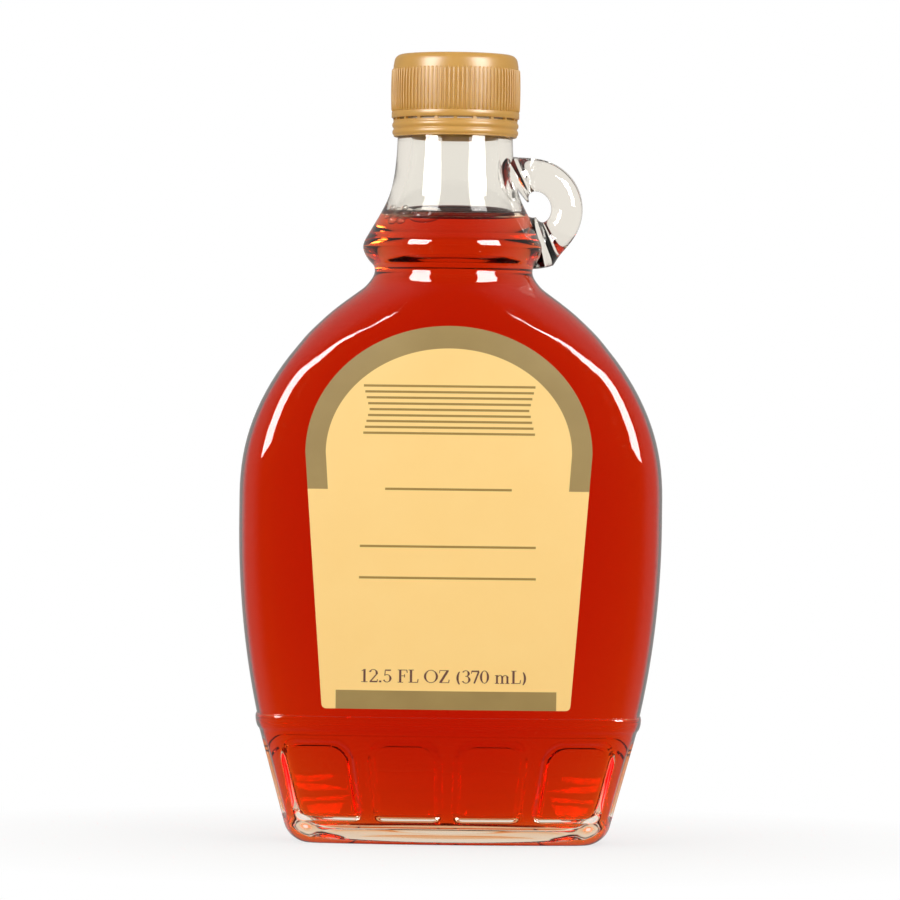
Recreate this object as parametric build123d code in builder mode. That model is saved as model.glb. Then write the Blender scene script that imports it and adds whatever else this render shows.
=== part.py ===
"""A flat oval glass bottle of maple syrup with a finger loop, a paper label and a screw cap.

The bottle stands on its base with the base's centre on the origin, +Z up, its label facing -Y and
its finger loop towards +X. All sizes are millimetres. A level cut through the flask is an oval of
eight tangent arcs, and its front and side outlines are elliptical curves above and below the
widest part, so the whole body follows from the driving dimensions below.
"""

import math
import os

from build123d import *

# ---- flask: half sizes at its widest, and how fast it closes above and below ----
flask_half_width = 50.5
flask_half_depth = 24.5
flask_bottom = 30.0  # the flask's lower edge, on top of the ledge
widest_from = 76.0  # the sides run straight between these two heights
widest_to = 80.0
width_rise = 57.3  # height of the elliptical shoulder curve, seen from the front
width_drop = 107.0  # and of the flatter curve below the widest part
depth_drop = 119.0  # the flatter curve below the widest part, seen from the side
front_bow = 4.5  # radius of the bowed front face, as a share of the half width
side_bow = 3.0  # radius of the bowed side, as a share of the half depth
corner_share = 0.3  # radius of the rounded corner between them, as a share of the half depth
round_bow = 1.06  # both bows at the top of the shoulder, where the outline is nearly a circle
round_corner_share = 0.92  # and the corner's share there
flask_sections = 11

# ---- ledge and panelled base ----
ledge_height = 2.5
ledge_proud = 0.2
ledge_edge_radius = 0.8
base_step = 0.35  # the base's top edge lies this far inside the ledge
base_taper_width = 7.5  # how much the base narrows from the ledge to the table, each side
base_taper_depth = 4.2
heel_radius = 4.0
bearing_width = 2.5  # flat ring that the bottle stands on, inside the heel
push_up_depth = 1.4
push_up_slope = 3.0  # level distance over which the push-up rises
front_panels = 4  # as many again behind
panel_pitch = 20.0  # along the outline, between the middles of the front panels
panel_width = 16.0
side_panels = 2  # narrower ones, on each side
side_panel_pitch = 14.5
side_panel_width = 11.0
panel_rib_height = 3.2  # from the ledge down to the top of a panel
panel_bottom = 6.2
panel_depth = 0.6
panel_shoulder_radius = 4.2
panel_foot_radius = 1.0

# ---- neck and finish ----
groove_radius = 18.85
groove_height = 136.2
shoulder_margin_side = 0.5  # the shoulder's top edge is wider than the groove by this
shoulder_margin_front = 0.15  # and deeper by this
neck_foot = 124.2  # the neck's solid starts down here, inside the shoulder
bead_radius = 21.7
bead_height = 141.9
bead_bottom = 138.0
bead_bottom_radius = 19.45
bead_top = 146.0
bead_top_radius = 20.0
flare_middle = 152.0
neck_radius = 13.75
flare_top_radius = neck_radius + 2.75
neck_height = 165.0  # the neck runs straight from here up
finish_height = 172.4  # the neck steps in here, under the cap
finish_radius = neck_radius - 1.3
rim_height = 186.3
rim_edge_radius = 0.8
thread_pitch = 4.0
thread_turns = 1.25
thread_depth = 1.0
thread_root_width = 1.5
thread_crest_width = 0.7
thread_height = 176.5  # where the neck's thread starts
thread_sunk = 0.15  # how far a ridge is sunk into the wall that carries it

# ---- finger loop ----
loop_offset = 18.75  # centre of the ring from the bottle's axis
loop_height = 151.4
loop_ring_radius = 8.15
loop_rod_radius = 3.75

# ---- glass thickness ----
side_wall = 3.8
floor_thickness = 5.6
floor_corner_radius = 4.0
neck_wall = 3.0
bore_radius = finish_radius - 2.05

# ---- contents ----
fill_height = 147.0

# ---- label ----
label_thickness = 0.15
label_half_width = 33.8  # where the arch springs
label_spring = 92.8
label_crown = 122.8
label_foot_half_width = 29.25
label_foot = 32.4
label_corner_radius = 1.0
label_shift = -0.6  # the label sits this far off the bottle's centre line

# ---- cap and its break-off band ----
cap_top = 188.0
cap_height = 15.25
cap_wall = 1.2
cap_clearance = 0.4  # between the crest of the neck's thread and the cap's wall
cap_radius = finish_radius + thread_depth + cap_clearance + cap_wall
cap_top_thickness = 1.4
cap_crown_radius = 1.8
cap_lip_height = 1.5
cap_lip_proud = 0.25
rib_count = 90
rib_depth = 0.4
rib_width = 0.6
rib_top_gap = 3.6  # from the cap's top down to the ribs
band_height = 4.0
band_bead_radius = 0.45
band_bead_proud = 0.25
band_bead_inset = 1.0  # from the band's edges to the beads' middles
band_clearance = 0.3
band_wall = 0.8
band_radius = neck_radius + band_clearance + band_wall
band_gap = 0.45  # the torn line between the cap and its band
bridge_count = 20
bridge_width = 0.7
bridge_share = 0.8  # a bridge's depth, as a share of the band's thickness

# ---- working allowances ----
overrun = 1.0  # how far a cutting shape runs past the face it cuts
touch = 0.01  # how near an edge lies to the height it is picked by


def closing(height, rise, drop):
    """The share of a half size left at a height above or below the widest part of the flask."""
    if height > widest_to:
        return math.sqrt(1 - ((height - widest_to) / rise) ** 2)
    if height < widest_from:
        return math.sqrt(1 - ((widest_from - height) / drop) ** 2)
    return 1.0


def oval(half_width, half_depth, round_share=0.0):
    """A level oval of eight tangent arcs: bowed front and sides, joined by tighter corners.

    round_share takes the outline from the body's squarish oval (0) to nearly a circle (1).
    """
    front = half_width * (front_bow + (round_bow - front_bow) * round_share)
    side = half_depth * (side_bow + (round_bow - side_bow) * round_share)
    corner = half_depth * (corner_share + (round_corner_share - corner_share) * round_share)
    # the corner's centre lies where it touches both bows from the inside
    front_centre = half_depth - front
    side_centre = half_width - side
    apart = math.hypot(side_centre, front_centre)
    along = ((side - corner) ** 2 - (front - corner) ** 2 + apart**2) / (2 * apart)
    aside = math.sqrt((side - corner) ** 2 - along**2)
    to_front = (-side_centre / apart, front_centre / apart)
    corner_x = side_centre + along * to_front[0] - aside * to_front[1]
    corner_y = along * to_front[1] + aside * to_front[0]
    lean = math.atan2(corner_x, corner_y - front_centre)
    rise = math.atan2(corner_y, corner_x - side_centre)
    turns = (math.pi / 2 - lean, (math.pi / 2 - lean + rise) / 2, rise)
    end, middle, start = (
        (corner_x + corner * math.cos(turn), corner_y + corner * math.sin(turn)) for turn in turns
    )
    with BuildSketch() as face:
        with BuildLine():
            for x, y in ((1, 1), (-1, 1), (-1, -1), (1, -1)):
                corner_points = [(x * px, y * py) for px, py in (start, middle, end)]
                ThreePointArc(*corner_points)
            for x in (1, -1):
                ThreePointArc(
                    (x * start[0], -start[1]), (x * half_width, 0), (x * start[0], start[1])
                )
            for y in (1, -1):
                ThreePointArc((-end[0], y * end[1]), (0, y * half_depth), (end[0], y * end[1]))
        make_face()
    return face.sketch


def flask_solid(inset, top_half_width, top_half_depth, bottom):
    """The flask shrunk by an inset, from a height up to where its shoulder has the given sizes."""
    width = flask_half_width - inset
    depth = flask_half_depth - inset
    rise = width_rise - inset
    top = widest_to + rise * math.sqrt(1 - (top_half_width / width) ** 2)
    depth_rise = (top - widest_to) / math.sqrt(1 - (top_half_depth / depth) ** 2)
    with BuildPart() as flask:
        for step in range(flask_sections + 1):
            height = bottom + (top - bottom) * step / flask_sections
            share = max(0.0, (height - widest_to) / (top - widest_to))
            with BuildSketch(Plane.XY.offset(height)):
                add(
                    oval(
                        width * closing(height, rise, width_drop),
                        depth * closing(height, depth_rise, depth_drop),
                        share**2,
                    )
                )
        loft()
    return flask.part


def base_sizes(height, inset=0.0):
    """Half width and half depth of the tapered base at a height, shrunk by an inset."""
    drop = (ledge_bottom - height) / ledge_bottom
    return (
        ledge_half_width - base_step - base_taper_width * drop - inset,
        ledge_half_depth - base_step - base_taper_depth * drop - inset,
    )


def base_solid(inset, bottom, top):
    """The tapered base between two heights, shrunk by an inset."""
    with BuildPart() as taper:
        for height in (bottom, top):
            with BuildSketch(Plane.XY.offset(height)):
                add(oval(*base_sizes(height, inset)))
        loft(ruled=True)
    return taper.part


def panel_places(height):
    """A plane facing outwards at the middle of each base panel at a height, with its width."""
    outline = oval(*base_sizes(height)).wires()[0]
    length = outline.length
    side = outline.param_at_point(Vector(base_sizes(height)[0], 0, 0))
    rows = 2 * (
        (side_panels, side_panel_pitch, side_panel_width),
        (front_panels, panel_pitch, panel_width),
    )
    places = []
    for quarter, (panels, pitch, width) in enumerate(rows):
        for n in range(panels):
            share = (side + quarter / 4 + (n - (panels - 1) / 2) * pitch / length) % 1
            middle, along = outline @ share, outline % share
            outward = Vector(along.Y, -along.X, 0)
            if outward.dot(middle) < 0:
                outward = -outward
            across = Vector(0, 0, 1).cross(outward)
            places.append((Plane((middle.X, middle.Y, height), across, outward), width))
    return places


def thread_ridge(radius, outwards, start_height):
    """A trapezoid ridge that winds up a cylinder, standing outwards (1) or inwards (-1)."""
    with BuildPart() as ridge:
        with BuildLine() as path:
            Helix(
                pitch=thread_pitch,
                height=thread_pitch * thread_turns,
                radius=radius,
                center=(0, 0, start_height),
            )
        with BuildSketch(Plane(origin=path.line @ 0, x_dir=(outwards, 0, 0), z_dir=path.line % 0)):
            with BuildLine():
                Polyline(
                    (-thread_sunk, -thread_root_width / 2),
                    (thread_depth, -thread_crest_width / 2),
                    (thread_depth, thread_crest_width / 2),
                    (-thread_sunk, thread_root_width / 2),
                    close=True,
                )
            make_face()
        sweep(is_frenet=True)
    return ridge.part


ledge_bottom = flask_bottom - ledge_height
ledge_half_width = flask_half_width * closing(flask_bottom, width_rise, width_drop) + ledge_proud
ledge_half_depth = flask_half_depth * closing(flask_bottom, width_rise, depth_drop) + ledge_proud

# The base: a taper with a rounded heel and a ring of arched panels pressed into it.
panel_top = ledge_bottom - panel_rib_height
panel_middle = (panel_top + panel_bottom) / 2
panel_reach = 6.0  # how far a panel's cutter reaches to each side of the base's face
with BuildPart() as base:
    add(base_solid(0, 0, ledge_bottom))
    fillet(base.edges().filter_by_position(Axis.Z, -touch, touch), heel_radius)
with BuildPart() as panel_cutters:
    for face_plane, width in panel_places(panel_middle):
        with BuildSketch(face_plane) as panel:
            Rectangle(width, panel_top - panel_bottom)
            fillet(panel.vertices().group_by(Axis.Y)[-1], panel_shoulder_radius)
            fillet(panel.vertices().group_by(Axis.Y)[0], panel_foot_radius)
        extrude(amount=panel_reach, both=True)
    add(base_solid(panel_depth, 0, ledge_bottom), mode=Mode.SUBTRACT)
with BuildPart() as push_up:
    inset = heel_radius + bearing_width
    for height, slope in ((0, 0), (push_up_depth, push_up_slope)):
        with BuildSketch(Plane.XY.offset(height)):
            add(oval(*base_sizes(0, inset + slope)))
    loft(ruled=True)

# The ledge: a low rounded step all round, between the base and the flask.
with BuildPart() as ledge:
    with BuildSketch(Plane.XY.offset(ledge_bottom)):
        add(oval(ledge_half_width, ledge_half_depth))
    extrude(amount=ledge_height)
    fillet(ledge.edges().filter_by(Plane.XY), ledge_edge_radius)

# The neck: groove, bead, flare, straight neck and the narrower finish that the cap screws on.
with BuildPart() as neck:
    with BuildSketch(Plane.XZ):
        with BuildLine():
            Polyline(
                (0, neck_foot),
                (groove_radius, neck_foot),
                (groove_radius, groove_height),
                (bead_bottom_radius, bead_bottom),
            )
            ThreePointArc(
                (bead_bottom_radius, bead_bottom),
                (bead_radius, bead_height),
                (bead_top_radius, bead_top),
            )
            Spline(
                (bead_top_radius, bead_top),
                (flare_top_radius, flare_middle),
                (neck_radius, neck_height),
                tangents=((-1, 1), (0, 1)),
            )
            Polyline(
                (neck_radius, neck_height),
                (neck_radius, finish_height),
                (finish_radius, finish_height),
                (finish_radius, rim_height),
                (0, rim_height),
                (0, neck_foot),
            )
        make_face()
    revolve(axis=Axis.Z)
    fillet(neck.edges().filter_by_position(Axis.Z, rim_height - touch, rim_height + touch), rim_edge_radius)
    add(thread_ridge(finish_radius, 1, thread_height))

# The inside of the bottle: floor, flask and neck, one wall inside the outer faces.
inner_radius = groove_radius - neck_wall
flare_inner_radius = flare_top_radius - neck_wall
with BuildPart() as cavity:
    with BuildSketch(Plane.XY.offset(floor_thickness)):
        add(oval(*base_sizes(floor_thickness, side_wall)))
    with BuildSketch(Plane.XY.offset(ledge_bottom)):
        add(
            oval(
                (flask_half_width - side_wall) * closing(ledge_bottom, width_rise, width_drop),
                (flask_half_depth - side_wall) * closing(ledge_bottom, width_rise, depth_drop),
            )
        )
    loft(ruled=True)
    fillet(
        cavity.edges().filter_by_position(Axis.Z, floor_thickness - touch, floor_thickness + touch),
        floor_corner_radius,
    )
    add(
        flask_solid(
            side_wall,
            inner_radius + shoulder_margin_side,
            inner_radius + shoulder_margin_front,
            ledge_bottom,
        )
    )
    with BuildSketch(Plane.XZ):
        with BuildLine():
            Polyline((0, neck_foot), (inner_radius, neck_foot), (inner_radius, bead_height))
            Spline(
                (inner_radius, bead_height),
                (flare_inner_radius, flare_middle),
                (bore_radius, neck_height),
                tangents=((0, 1), (0, 1)),
            )
            Polyline(
                (bore_radius, neck_height),
                (bore_radius, rim_height + overrun),
                (0, rim_height + overrun),
                (0, neck_foot),
            )
        make_face()
    revolve(axis=Axis.Z)

# The glass: everything joined, then hollowed.
flask = flask_solid(
    0,
    groove_radius + shoulder_margin_side,
    groove_radius + shoulder_margin_front,
    flask_bottom,
)
with BuildPart() as bottle:
    add(base.part)
    add(panel_cutters.part, mode=Mode.SUBTRACT)
    add(push_up.part, mode=Mode.SUBTRACT)
    add(ledge.part)
    add(flask)
    add(neck.part)
    with Locations((loop_offset, 0, loop_height)):
        Torus(loop_ring_radius, loop_rod_radius, rotation=(90, 0, 0))
    add(cavity.part, mode=Mode.SUBTRACT)
bottle.part.label = "bottle"

# The contents fill the inside up to a level surface.
with BuildPart() as syrup:
    add(cavity.part)
    split(bisect_by=Plane.XY.offset(fill_height), keep=Keep.BOTTOM)
syrup.part.label = "syrup"

# The label: a thin sheet on the front of the flask, arched at the top and tapering to its foot.
with BuildPart() as label:
    with BuildSketch(Plane.XZ.shift_origin((label_shift, 0, 0))):
        with BuildLine():
            EllipticalCenterArc(
                (0, label_spring),
                label_half_width,
                label_crown - label_spring,
                start_angle=0,
                arc_size=180,
            )
            FilletPolyline(
                (-label_half_width, label_spring),
                (-label_foot_half_width, label_foot),
                (label_foot_half_width, label_foot),
                (label_half_width, label_spring),
                radius=label_corner_radius,
            )
        make_face()
    extrude(amount=flask_half_depth + overrun)
    add(
        flask_solid(
            -label_thickness,
            groove_radius + shoulder_margin_side + label_thickness,
            groove_radius + shoulder_margin_front + label_thickness,
            flask_bottom,
        ),
        mode=Mode.INTERSECT,
    )
    add(flask, mode=Mode.SUBTRACT)
label.part.label = "label"

# The cap: a ribbed shell with a smooth lip and a thread inside.
cap_bottom = cap_top - cap_height
rib_bottom = cap_bottom + cap_lip_height
with BuildPart() as cap:
    with BuildSketch(Plane.XZ):
        with BuildLine():
            FilletPolyline(
                (0, cap_top),
                (cap_radius, cap_top),
                (cap_radius, rib_bottom),
                radius=cap_crown_radius,
            )
            Polyline(
                (cap_radius, rib_bottom),
                (cap_radius + cap_lip_proud, rib_bottom),
                (cap_radius + cap_lip_proud, cap_bottom),
                (0, cap_bottom),
                (0, cap_top),
            )
        make_face()
    revolve(axis=Axis.Z)
    with BuildSketch(Plane.XY.offset(rib_bottom)):
        Circle(cap_radius)
        with PolarLocations(cap_radius, rib_count):
            Rectangle(2 * rib_depth, rib_width)
    extrude(amount=cap_height - cap_lip_height - rib_top_gap)
    with Locations((0, 0, cap_bottom)):
        Cylinder(
            cap_radius - cap_wall,
            cap_height - cap_top_thickness,
            align=(Align.CENTER, Align.CENTER, Align.MIN),
            mode=Mode.SUBTRACT,
        )
    add(
        thread_ridge(
            cap_radius - cap_wall,
            -1,
            thread_height + thread_pitch / 2,
        )
    )
cap.part.label = "cap"

# The band left under the cap once its bridges are cut, with two beads round it.
band_top = cap_bottom - band_gap
band_bottom = band_top - band_height
with BuildPart() as tamper_band:
    with BuildSketch(Plane.XZ):
        with Locations((neck_radius + band_clearance, band_bottom)):
            Rectangle(
                band_radius - neck_radius - band_clearance,
                band_height,
                align=(Align.MIN, Align.MIN),
            )
        bead_centre = band_radius + band_bead_proud - band_bead_radius
        with Locations((bead_centre, band_bottom + band_bead_inset), (bead_centre, band_top - band_bead_inset)):
            Circle(band_bead_radius)
    revolve(axis=Axis.Z)
    bridge_depth = band_radius - neck_radius - band_clearance
    with Locations((0, 0, band_top)):
        with PolarLocations(band_radius - bridge_depth / 2, bridge_count):
            Box(bridge_depth * bridge_share, bridge_width, band_gap, align=(Align.CENTER, Align.CENTER, Align.MIN))
tamper_band.part.label = "tamper_band"

os.makedirs("parts", exist_ok=True)
for piece in (bottle, syrup, label, cap, tamper_band):
    export_step(piece.part, f"parts/{piece.part.label}.step")
    print(piece.part.label, len(piece.solids()), "solid", round(piece.part.volume / 1000, 2), "mL")
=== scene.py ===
"""A full bottle of maple syrup: clear moulded glass with a finger loop, dark amber syrup up to the
neck, a cream and gold paper label, and a gold ribbed cap with its break-off band.

Lengths are millimetres until a mesh is made, where they are turned into metres. The bottle stands
on the origin, +Z up, with its label facing -Y and its finger loop towards +X.
"""

import math

import bmesh
import bpy
import numpy as np
from mathutils import Euler, Matrix, Vector


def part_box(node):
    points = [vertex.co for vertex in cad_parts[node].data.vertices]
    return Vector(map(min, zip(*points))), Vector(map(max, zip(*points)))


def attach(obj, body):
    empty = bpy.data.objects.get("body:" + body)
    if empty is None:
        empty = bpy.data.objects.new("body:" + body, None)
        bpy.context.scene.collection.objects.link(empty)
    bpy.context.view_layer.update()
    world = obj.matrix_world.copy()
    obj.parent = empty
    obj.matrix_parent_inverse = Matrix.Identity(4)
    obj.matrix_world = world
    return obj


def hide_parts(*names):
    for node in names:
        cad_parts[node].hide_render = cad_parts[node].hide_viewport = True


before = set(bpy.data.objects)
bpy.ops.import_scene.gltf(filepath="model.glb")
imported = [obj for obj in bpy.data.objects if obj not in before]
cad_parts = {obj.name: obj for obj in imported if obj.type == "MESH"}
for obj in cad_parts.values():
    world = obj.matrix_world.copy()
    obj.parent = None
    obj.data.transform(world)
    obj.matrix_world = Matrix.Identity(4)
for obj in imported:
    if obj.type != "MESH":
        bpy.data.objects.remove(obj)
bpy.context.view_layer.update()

METRES = 0.001


def frame_box(node):
    """Lowest and highest corner of a CAD node, in millimetres."""
    low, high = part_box(node)
    return np.array(low) / METRES, np.array(high) / METRES


glass_low, glass_high = frame_box("bottle")
cap_low, cap_high = frame_box("cap")
band_low, _ = frame_box("tamper_band")
syrup_low, syrup_high = frame_box("syrup")
label_low, label_high = frame_box("label")

# ---- flask ----
flask_half_width = -glass_low[0]
flask_half_depth = glass_high[1]
widest_from, widest_to = 76.0, 80.0
width_drop, depth_drop = 107.0, 119.0
# the shoulder, as half width and half depth at a height
shoulder_outline = [
    (80.0, 50.5, 24.5),
    (86.0, 50.4, 24.42),
    (92.2, 49.7, 24.2),
    (98.0, 48.3, 23.95),
    (103.7, 46.15, 23.65),
    (109.4, 43.2, 23.3),
    (115.1, 39.4, 22.85),
    (118.0, 37.1, 22.6),
    (121.0, 34.6, 22.3),
    (123.7, 31.9, 21.95),
    (126.6, 28.7, 21.5),
    (129.4, 25.1, 20.8),
    (131.0, 22.9, 20.2),
    (132.3, 21.2, 19.6),
    (133.6, 20.05, 19.15),
    (134.9, 19.2, 18.95),
    (136.1, 18.85, 18.85),
]
# the level outline: bowed front and sides with tighter corners
front_bow, side_bow, corner_share = 4.5, 3.0, 0.3
round_bow, round_corner_share = 1.06, 0.92
round_from = 108.0  # from here up the outline turns from squarish to round

# ---- ledge and panelled base ----
ledge_bottom, ledge_top = 27.0, 30.5
ledge_proud = 0.5
base_step = 0.55
base_taper_width, base_taper_depth = 7.4, 4.2
heel_radius = 4.0
push_up_depth = 1.4
panel_pitch, panel_half_width = 20.0, 8.0  # four in front and four behind
side_panel_pitch, side_panel_half_width = 14.5, 5.5  # two on each side
panel_bottom, panel_top = 6.2, 24.4
panel_depth = 0.75
panel_wall = 1.0
panel_shoulder_radius, panel_foot_radius = 4.4, 1.4

# ---- neck, as radius at a height ----
neck_radius = 13.75
neck_outline = [
    (136.1, 18.85),
    (137.4, 19.05),
    (138.6, 20.15),
    (140.2, 21.2),
    (141.9, 21.7),
    (143.5, 21.3),
    (145.0, 20.45),
    (147.6, 18.95),
    (150.4, 17.35),
    (153.3, 15.95),
    (156.2, 15.0),
    (159.0, 14.45),
    (163.0, 14.0),
    (168.0, neck_radius),
    (172.0, neck_radius),
]
neck_inside = [
    (130.0, 15.8),
    (137.0, 15.8),
    (142.0, 15.85),
    (146.0, 15.3),
    (150.0, 14.2),
    (154.0, 12.9),
    (158.0, 11.8),
    (162.0, 11.0),
    (167.0, 10.5),
    (172.0, 10.4),
]
finish_height, finish_radius = 172.4, 12.45
rim_height = glass_high[2]
bore_radius = 10.4

# ---- finger loop ----
loop_ring_radius, loop_rod_radius = 8.15, 3.75
loop_centre_x, loop_centre_z = 18.75, 151.4
loop_flare, loop_flare_reach = 2.4, 1.7
rod_flatness = 0.96  # the rod's depth as a share of its width
rod_end = 128  # degrees round from the outermost point to where the rod runs into the neck

# ---- glass and contents ----
side_wall = 3.8
floor_height = syrup_low[2] - 1.4
floor_corner_radius = 6.0
floor_dome = 0.9  # how far the middle of the floor rises
fill_height = syrup_high[2]
wall_bite = 0.12  # how far the syrup reaches into the glass, so that no air shows
film_height, film_thickness = 2.6, 0.3

# ---- label ----
label_middle = (label_low[0] + label_high[0]) / 2
label_half_width = (label_high[0] - label_low[0]) / 2
label_foot, label_crown = label_low[2], label_high[2]
label_spring = 92.8
label_foot_half_width = 29.25
label_corner_radius = 1.0
label_thickness = 0.12
print_lift = 0.02


# ------------------------------------------------------------------ outlines


def drop_closing(height, drop):
    """The share of a half size left at a height below the widest part."""
    return math.sqrt(1 - (max(0.0, widest_from - height) / drop) ** 2)


def soft_larger(a, b, blend):
    """The larger of two sizes, rounded where they cross."""
    return (a + b + math.sqrt((a - b) ** 2 + blend**2)) / 2


def curve_through(points, column=1):
    """A smooth function of height through a few outline points."""
    heights = np.array([p[0] for p in points])
    sizes = np.array([p[column] for p in points])
    slopes = np.gradient(sizes, heights)
    slopes[0] = slopes[-1] = 0

    def size(height):
        i = int(np.clip(np.searchsorted(heights, height) - 1, 0, len(heights) - 2))
        span = heights[i + 1] - heights[i]
        t = float(np.clip((height - heights[i]) / span, 0, 1))
        a = 2 * t**3 - 3 * t**2 + 1
        b = t**3 - 2 * t**2 + t
        c = 3 * t**2 - 2 * t**3
        d = t**3 - t**2
        return a * sizes[i] + b * span * slopes[i] + c * sizes[i + 1] + d * span * slopes[i + 1]

    return size


neck_radius_at = curve_through(neck_outline)
neck_inside_at = curve_through(neck_inside)
shoulder_width_at = curve_through(shoulder_outline, 1)
shoulder_depth_at = curve_through(shoulder_outline, 2)
groove_height = shoulder_outline[-1][0]


def roundness_at(height):
    """0 for the body's squarish outline, 1 for the round neck's."""
    share = min(1.0, max(0.0, (height - round_from) / (groove_height - 1 - round_from)))
    return share * share * (3 - 2 * share)


def body_sizes(height):
    """Half width and half depth of the outside at a height."""
    if height >= groove_height:
        return neck_radius_at(height), neck_radius_at(height)
    if height > widest_to:
        return shoulder_width_at(height), shoulder_depth_at(height)
    return (
        flask_half_width * drop_closing(height, width_drop),
        flask_half_depth * drop_closing(height, depth_drop),
    )


top_of_base = [size - base_step for size in body_sizes(ledge_top)]


def base_sizes(height, inset=0.0):
    """Half width and half depth of the tapered base at a height."""
    drop = (ledge_bottom - height) / ledge_bottom
    return (
        top_of_base[0] - base_taper_width * drop - inset,
        top_of_base[1] - base_taper_depth * drop - inset,
    )


def eight_arc_outline(half_width, half_depth, roundness):
    """A quarter of a level outline of tangent arcs, from the side (+X) round to the back (+Y)."""
    front = half_width * (front_bow + (round_bow - front_bow) * roundness)
    side = half_depth * (side_bow + (round_bow - side_bow) * roundness)
    corner = half_depth * (corner_share + (round_corner_share - corner_share) * roundness)
    front_centre, side_centre = half_depth - front, half_width - side
    apart = math.hypot(side_centre, front_centre)
    along = ((side - corner) ** 2 - (front - corner) ** 2 + apart**2) / (2 * apart)
    aside = math.sqrt((side - corner) ** 2 - along**2)
    corner_x = side_centre - along * side_centre / apart - aside * front_centre / apart
    corner_y = along * front_centre / apart - aside * side_centre / apart
    rise = math.atan2(corner_y, corner_x - side_centre)
    lean = math.atan2(corner_y - front_centre, corner_x)
    arcs = (
        (side_centre, 0.0, side, 0.0, rise),
        (corner_x, corner_y, corner, rise, lean),
        (0.0, front_centre, front, lean, math.pi / 2),
    )
    pieces = [
        np.column_stack([x + r * np.cos(t), y + r * np.sin(t)])
        for x, y, r, start, stop in arcs
        for t in [np.linspace(start, stop, 121)]
    ]
    return np.concatenate([pieces[0], pieces[1][1:], pieces[2][1:]])


def outline(width, depth, roundness, shares):
    """Points of a level outline at given shares of its length, with the length itself."""
    if roundness >= 1 or width < 6:
        angle = np.linspace(0, math.pi / 2, 361)
        quarter = np.column_stack([width * np.cos(angle), depth * np.sin(angle)])
    else:
        quarter = eight_arc_outline(width, depth, roundness)
    mirrored = quarter[::-1] * (-1, 1)
    half = np.concatenate([quarter, mirrored[1:]])
    whole = np.concatenate([half, -half[1:]])
    length = np.concatenate([[0], np.cumsum(np.hypot(*np.diff(whole, axis=0).T))])
    at = shares * length[-1]
    points = np.column_stack([np.interp(at, length, whole[:, 0]), np.interp(at, length, whole[:, 1])])
    return points, length[-1]


base_length = outline(*base_sizes((panel_top + panel_bottom) / 2), 0, np.zeros(1))[1]
panels = [  # middle, as a share of the outline's length, and half width of each panel
    ((quarter / 4 + (n - (count - 1) / 2) * pitch / base_length) % 1, half_width)
    for quarter, (count, pitch, half_width) in enumerate(
        2 * ((2, side_panel_pitch, side_panel_half_width), (4, panel_pitch, panel_half_width))
    )
    for n in range(count)
]


def column_shares():
    """Where the glass mesh has its columns: close together at the panels' edges."""
    marks = []
    for middle, half_width in panels:
        for side in (-1, 1):
            near = np.concatenate([np.arange(-4.6, 1.2, 0.66), [1.3]])
            marks += list(middle + side * (half_width + near) / base_length)
        marks += list(middle + np.array([-1.8, -0.6, 0.6, 1.8]) / base_length)
    marks = np.sort(np.array(marks) % 1)
    filled = [marks[0]]
    for mark in list(marks[1:]) + [marks[0] + 1]:
        gap = (mark - filled[-1]) * base_length
        if gap < 0.25:
            continue
        extra = int(gap // 1.6)
        start = filled[-1]
        filled += [start + (mark - start) * (k + 1) / (extra + 1) for k in range(extra)]
        filled.append(mark)
    return np.array(filled[:-1])


columns = column_shares()


def panel_mask(height, shares, length):
    """1 inside an arched panel, 0 outside, with a soft edge."""
    mask = np.zeros(len(shares))
    half_height = (panel_top - panel_bottom) / 2
    up = height - (panel_top + panel_bottom) / 2
    radius = panel_shoulder_radius if up > 0 else panel_foot_radius
    for middle, mid_half_width in panels:
        across = np.abs((shares - middle + 0.5) % 1 - 0.5) * length
        half_width = mid_half_width * length / base_length
        corner_x = np.maximum(across - half_width + radius, 0)
        corner_z = max(abs(up) - half_height + radius, 0)
        inside = np.minimum(np.maximum(across - half_width, abs(up) - half_height), 0)
        distance = np.where(
            (corner_x > 0) & (corner_z > 0), np.hypot(corner_x, corner_z) - radius, inside
        )
        distance = np.where(
            (across > half_width) | (abs(up) > half_height),
            np.maximum(distance, np.maximum(across - half_width, abs(up) - half_height)),
            distance,
        )
        t = np.clip(0.5 - distance / panel_wall, 0, 1)
        mask = np.maximum(mask, t * t * (3 - 2 * t))
    return mask


# ------------------------------------------------------------------ meshes


def steps(start, stop, size):
    """Evenly spaced heights from start up to, but not including, stop."""
    return list(np.linspace(start, stop, max(2, round((stop - start) / size) + 1))[:-1])


def new_object(name, vertices, faces, smooth=True):
    """A mesh object from millimetre points."""
    mesh = bpy.data.meshes.new(name)
    mesh.from_pydata((np.asarray(vertices) * METRES).tolist(), [], [list(f) for f in faces])
    mesh.validate()
    if smooth:
        mesh.shade_smooth()
    piece = bpy.data.objects.new(name, mesh)
    bpy.context.scene.collection.objects.link(piece)
    return piece


def stack_rings(name, rings, bottom, top):
    """A closed mesh from rings of equal count, closed by a point at each end."""
    count = len(rings[0])
    vertices = np.concatenate(rings + [np.array([bottom, top])])
    low, high = len(vertices) - 2, len(vertices) - 1
    faces = []
    for r in range(len(rings) - 1):
        a, b = r * count, (r + 1) * count
        faces += [(a + i, a + (i + 1) % count, b + (i + 1) % count, b + i) for i in range(count)]
    last = (len(rings) - 1) * count
    faces += [((i + 1) % count, i, low) for i in range(count)]
    faces += [(last + i, last + (i + 1) % count, high) for i in range(count)]
    return new_object(name, vertices, faces)


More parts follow.
